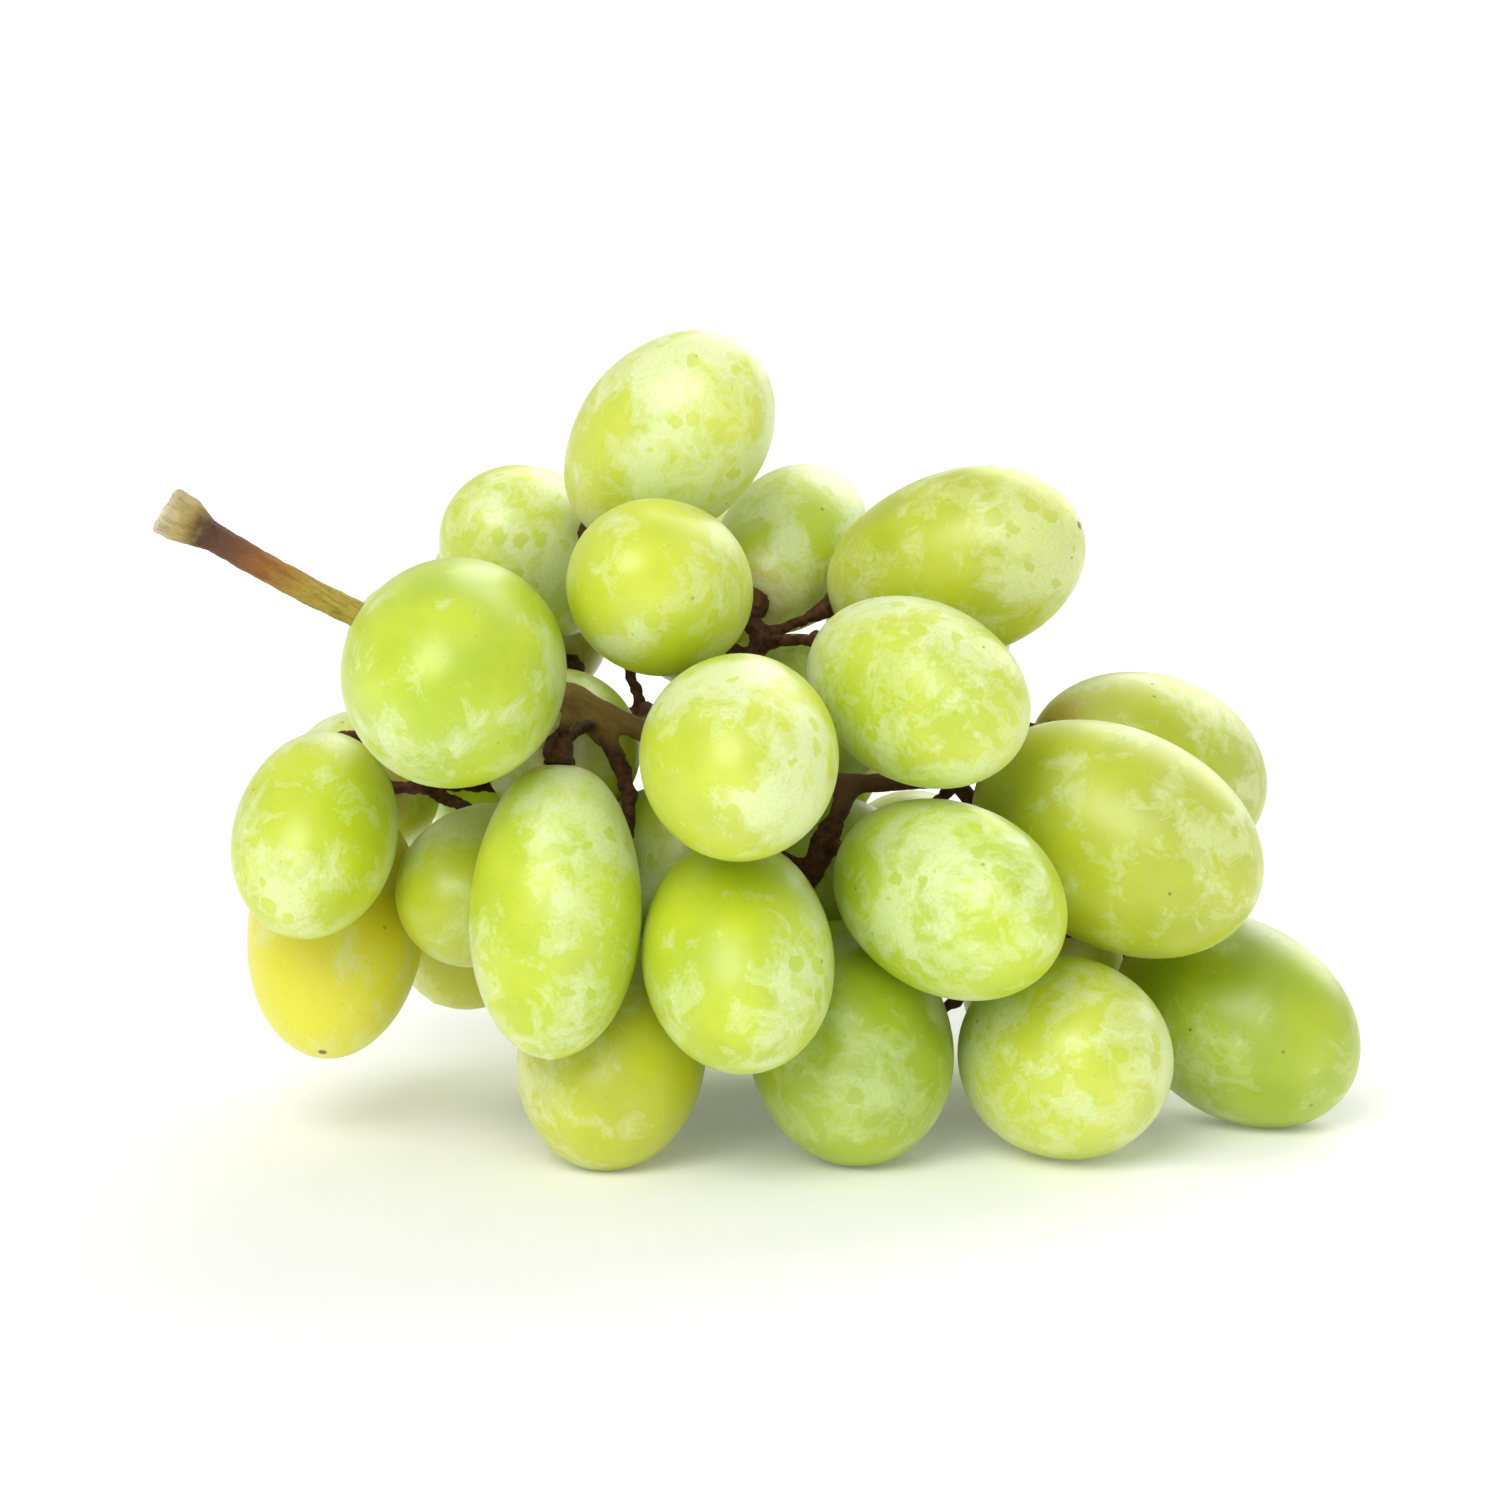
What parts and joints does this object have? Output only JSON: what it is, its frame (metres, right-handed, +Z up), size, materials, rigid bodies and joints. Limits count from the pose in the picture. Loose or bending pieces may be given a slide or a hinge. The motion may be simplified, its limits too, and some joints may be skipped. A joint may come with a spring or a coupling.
{
  "type": "bunch of grapes",
  "caption": "Bunch of plump oval white grapes lying on its side, the berries crowded round a branching woody stalk whose cut end stands out to one side.",
  "frame": {"origin": "middle of the bunch's bounding box in plan, on the surface it lies on", "axes": "+X runs along the bunch away from the cut end of the stalk, +Y goes from the front face to the back, +Z is up"},
  "size_m": [0.1184, 0.0862, 0.0795],
  "materials": {
    "grape_skin_green": "fresh green skin, satin with a waxy bloom",
    "grape_skin_golden": "riper yellow-green skin, satin with a waxy bloom",
    "grape_skin_pale": "pale skin under a heavy waxy bloom",
    "grape_skin_deep": "deeper green skin of the shaded berries",
    "stalk_wood": "dry brown stalk, tan and green towards the cut end"
  },
  "bodies": {
    "root": {"berry_01": "grape_skin_green", "berry_02": "grape_skin_green", "berry_03": "grape_skin_golden", "berry_04": "grape_skin_deep", "berry_05": "grape_skin_pale", "berry_06": "grape_skin_golden", "berry_07": "grape_skin_green", "berry_08": "grape_skin_green", "berry_09": "grape_skin_green", "berry_10": "grape_skin_green", "berry_11": "grape_skin_pale", "berry_12": "grape_skin_green", "berry_13": "grape_skin_pale", "berry_14": "grape_skin_green", "berry_15": "grape_skin_pale", "berry_16": "grape_skin_pale", "berry_17": "grape_skin_green", "berry_18": "grape_skin_golden", "berry_19": "grape_skin_golden", "berry_20": "grape_skin_golden", "berry_21": "grape_skin_golden", "berry_22": "grape_skin_deep", "berry_23": "grape_skin_green", "berry_24": "grape_skin_deep", "berry_25": "grape_skin_deep", "berry_26": "grape_skin_deep", "berry_27": "grape_skin_green", "berry_28": "grape_skin_deep", "berry_29": "grape_skin_green", "berry_30": "grape_skin_golden", "berry_31": "grape_skin_green", "berry_32": "grape_skin_green", "berry_33": "grape_skin_green", "berry_34": "grape_skin_pale", "berry_35": "grape_skin_golden", "berry_36": "grape_skin_deep", "berry_37": "grape_skin_deep", "berry_38": "grape_skin_green", "stalk": "stalk_wood"}
  },
  "joints": []
}
